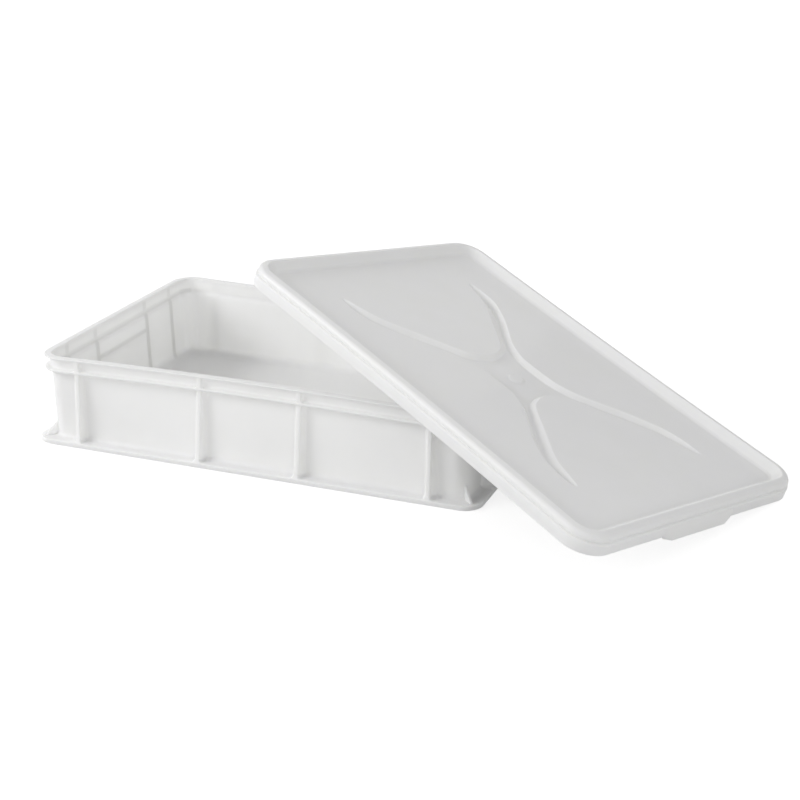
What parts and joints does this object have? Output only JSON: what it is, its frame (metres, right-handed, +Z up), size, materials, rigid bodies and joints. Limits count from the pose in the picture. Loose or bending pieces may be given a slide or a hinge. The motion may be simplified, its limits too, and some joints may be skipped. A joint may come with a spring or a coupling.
{
  "type": "dough proofing container",
  "caption": "White stackable proofing container for dough, with ribbed walls, hand grips and a lift-off lid that leans on its right-hand end.",
  "frame": {"origin": "middle of the container's underside, on the table", "axes": "+X along the long sides towards the end that the lid leans on, +Y from the front wall to the back wall, +Z up"},
  "size_m": [0.9261, 0.5925, 0.2405],
  "materials": {
    "container_polyethylene": "satin",
    "lid_polyethylene": "satin"
  },
  "bodies": {
    "container": {"container": "container_polyethylene"},
    "lid": {"lid": "lid_polyethylene"}
  },
  "joints": [
    {"name": "lift_lid", "type": "slide", "parent": "container", "child": "lid", "axis": [0, 0, 1], "range_m": [0, 0.3]}
  ]
}
